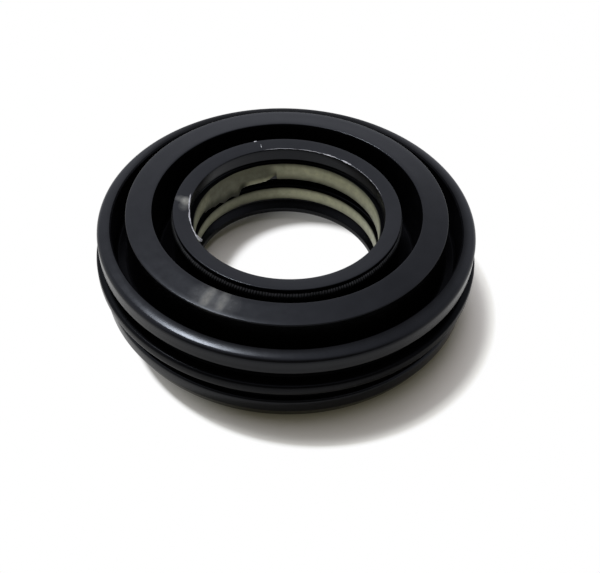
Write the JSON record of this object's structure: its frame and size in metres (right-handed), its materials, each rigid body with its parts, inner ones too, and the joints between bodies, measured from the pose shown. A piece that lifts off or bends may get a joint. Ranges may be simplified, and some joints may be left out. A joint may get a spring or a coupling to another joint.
{
  "type": "washing machine shaft seal",
  "caption": "Black rubber rotary shaft seal with a sprung lip, greased inner lips, a raised face ring and a ribbed press-in outside.",
  "frame": {"origin": "on the shaft axis, in the plane of the seal's back face", "axes": "+Z along the shaft axis, from the back face towards the sprung lip"},
  "size_m": [0.0506, 0.0506, 0.0135],
  "materials": {
    "seal_rubber": "satin black moulded rubber with a thin shine, finely pitted, with scuffs on the raised faces",
    "spring_steel": "bright drawn spring wire, closely wound",
    "lip_grease": "thin pale olive grease film"
  },
  "bodies": {
    "root": {"seal_body": "seal_rubber", "garter_spring": "spring_steel"}
  },
  "joints": []
}
